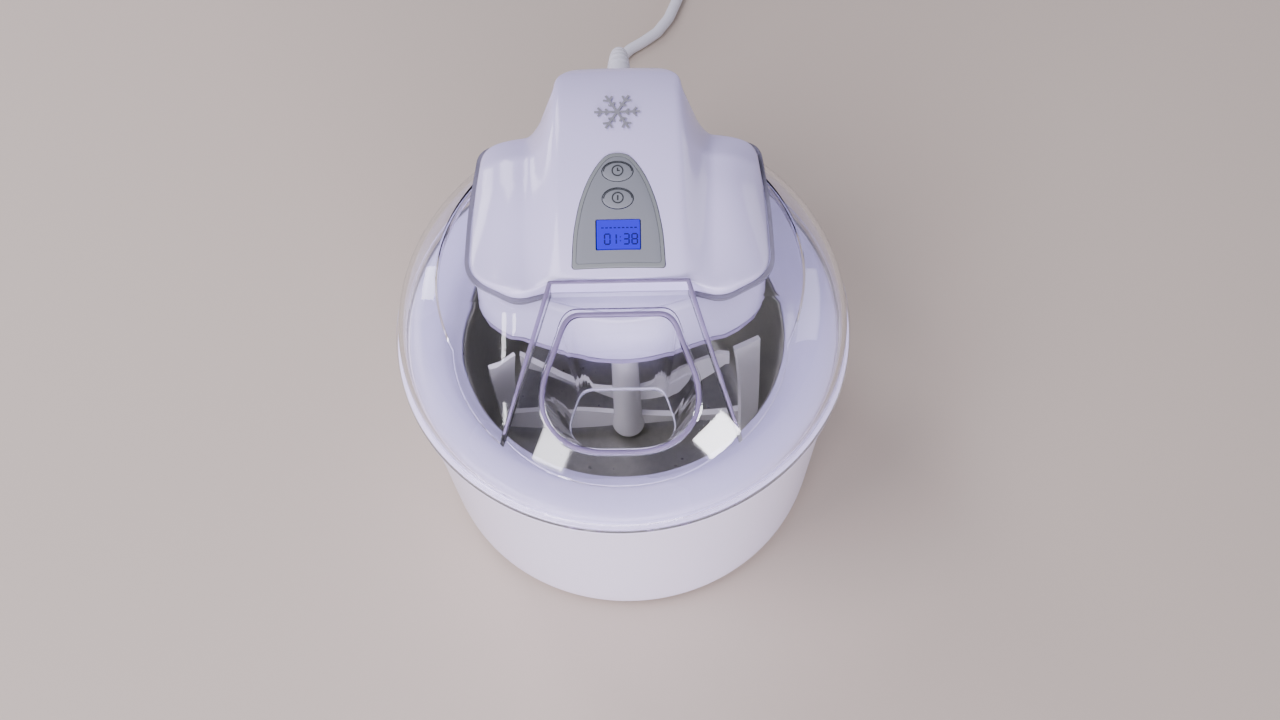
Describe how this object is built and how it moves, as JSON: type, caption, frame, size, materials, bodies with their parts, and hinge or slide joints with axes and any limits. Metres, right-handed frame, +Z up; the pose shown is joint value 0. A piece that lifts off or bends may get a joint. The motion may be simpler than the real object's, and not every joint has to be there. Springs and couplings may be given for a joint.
{
  "type": "ice cream maker",
  "caption": "Table-top ice cream maker: freezer bowl in a tapered white bucket, clear domed lid with filling chute and a white motor head with control panel.",
  "frame": {"origin": "on the bowl's vertical axis, at table level under the rubber feet", "axes": "+Z up; the filling chute and the control panel face -Y; the mains cord leaves the back, towards +Y; +X is to the right seen from the front"},
  "size_m": [0.2353, 0.538, 0.2123],
  "materials": {
    "white_plastic": "glossy moulded white plastic with a faint cool tint",
    "bowl_plastic": "semi-gloss white moulded plastic, smooth rolled rim",
    "aluminium": "spun aluminium, fine circular brushing",
    "gel": "frozen coolant gel, milky blue",
    "clear_plastic": "clear polished plastic with violet-grey edges",
    "panel_grey": "satin silver-grey plastic with dark printed icons",
    "border_grey": "satin darker grey plastic",
    "display": "back-lit blue liquid crystal with dark segments",
    "rubber": "matt grey moulded rubber",
    "board": "green solder mask",
    "black_plastic": "matt black moulded plastic",
    "steel": "zinc-plated and brushed steel",
    "brass": "turned brass",
    "acetal": "natural acetal, slightly waxy",
    "cord_white": "smooth white flexible vinyl"
  },
  "bodies": {
    "base": {"outer_bucket": "white_plastic", "rubber_foot_1": "rubber", "rubber_foot_2": "rubber", "rubber_foot_3": "rubber", "rubber_foot_4": "rubber"},
    "freezer_bowl": {"freezer_bowl_shell": "bowl_plastic", "freezer_bowl_liner": "aluminium", "coolant_gel": "gel"},
    "lid_unit": {"clear_lid": "clear_plastic", "motor_head_cover": "white_plastic", "control_panel_plate": "panel_grey", "panel_bezel": "border_grey", "lcd_window": "clear_plastic", "lcd_module": "display", "control_board": "board", "timer_switch": "black_plastic", "power_switch": "black_plastic", "buzzer": "black_plastic", "snowflake_emblem": "panel_grey", "motor_lower_housing": "white_plastic", "housing_seal": "rubber", "housing_screw_1": "steel", "housing_screw_2": "steel", "housing_screw_3": "steel", "housing_screw_4": "steel", "plate_screw_1": "steel", "plate_screw_2": "steel", "plate_screw_3": "steel", "plate_screw_4": "steel", "stepped_gear_axle": "steel", "output_bush": "brass", "gearbox_plate": "steel", "motor_can": "steel", "strain_relief": "cord_white", "cord_run": "cord_white", "cord_coil": "cord_white", "coil_tie": "black_plastic", "cord_tail": "cord_white", "plug_body": "cord_white", "plug_blade_1": "brass", "plug_blade_2": "brass"},
    "paddle": {"mixing_paddle": "white_plastic"},
    "output_drive": {"output_gear": "acetal"},
    "stepped_drive": {"stepped_gear": "acetal"},
    "motor_rotor": {"motor_pinion": "steel"},
    "timer_key": {"timer_button": "panel_grey"},
    "power_key": {"power_button": "panel_grey"}
  },
  "joints": [
    {"name": "bowl_lift", "type": "slide", "parent": "base", "child": "freezer_bowl", "axis": [0, 0, 1], "range_m": [0, 0.13]},
    {"name": "lid_lift", "type": "slide", "parent": "freezer_bowl", "child": "lid_unit", "axis": [0, 0, 1], "range_m": [0, 0.16]},
    {"name": "paddle_spin", "type": "hinge", "parent": "freezer_bowl", "child": "paddle", "pos_m": [0, 0, 0.08], "axis": [0, 0, 1], "continuous": true},
    {"name": "output_spin", "type": "hinge", "parent": "lid_unit", "child": "output_drive", "pos_m": [0, 0, 0.155], "axis": [0, 0, 1], "continuous": true},
    {"name": "stepped_spin", "type": "hinge", "parent": "lid_unit", "child": "stepped_drive", "pos_m": [0, 0.028, 0.16], "axis": [0, 0, 1], "continuous": true},
    {"name": "motor_spin", "type": "hinge", "parent": "lid_unit", "child": "motor_rotor", "pos_m": [0, 0.056, 0.165], "axis": [0, 0, 1], "continuous": true},
    {"name": "timer_press", "type": "slide", "parent": "lid_unit", "child": "timer_key", "axis": [0, 0.2118, -0.9773], "range_m": [0, 0.0008], "stiffness_N_per_m": 300, "springref_m": -0.0005},
    {"name": "power_press", "type": "slide", "parent": "lid_unit", "child": "power_key", "axis": [0, 0.2777, -0.9607], "range_m": [0, 0.0008], "stiffness_N_per_m": 300, "springref_m": -0.0005}
  ],
  "couplings": [
    {"joint": "output_spin", "follows": "paddle_spin", "ratio": 1},
    {"joint": "stepped_spin", "follows": "paddle_spin", "ratio": -3},
    {"joint": "motor_spin", "follows": "paddle_spin", "ratio": 10.333}
  ]
}
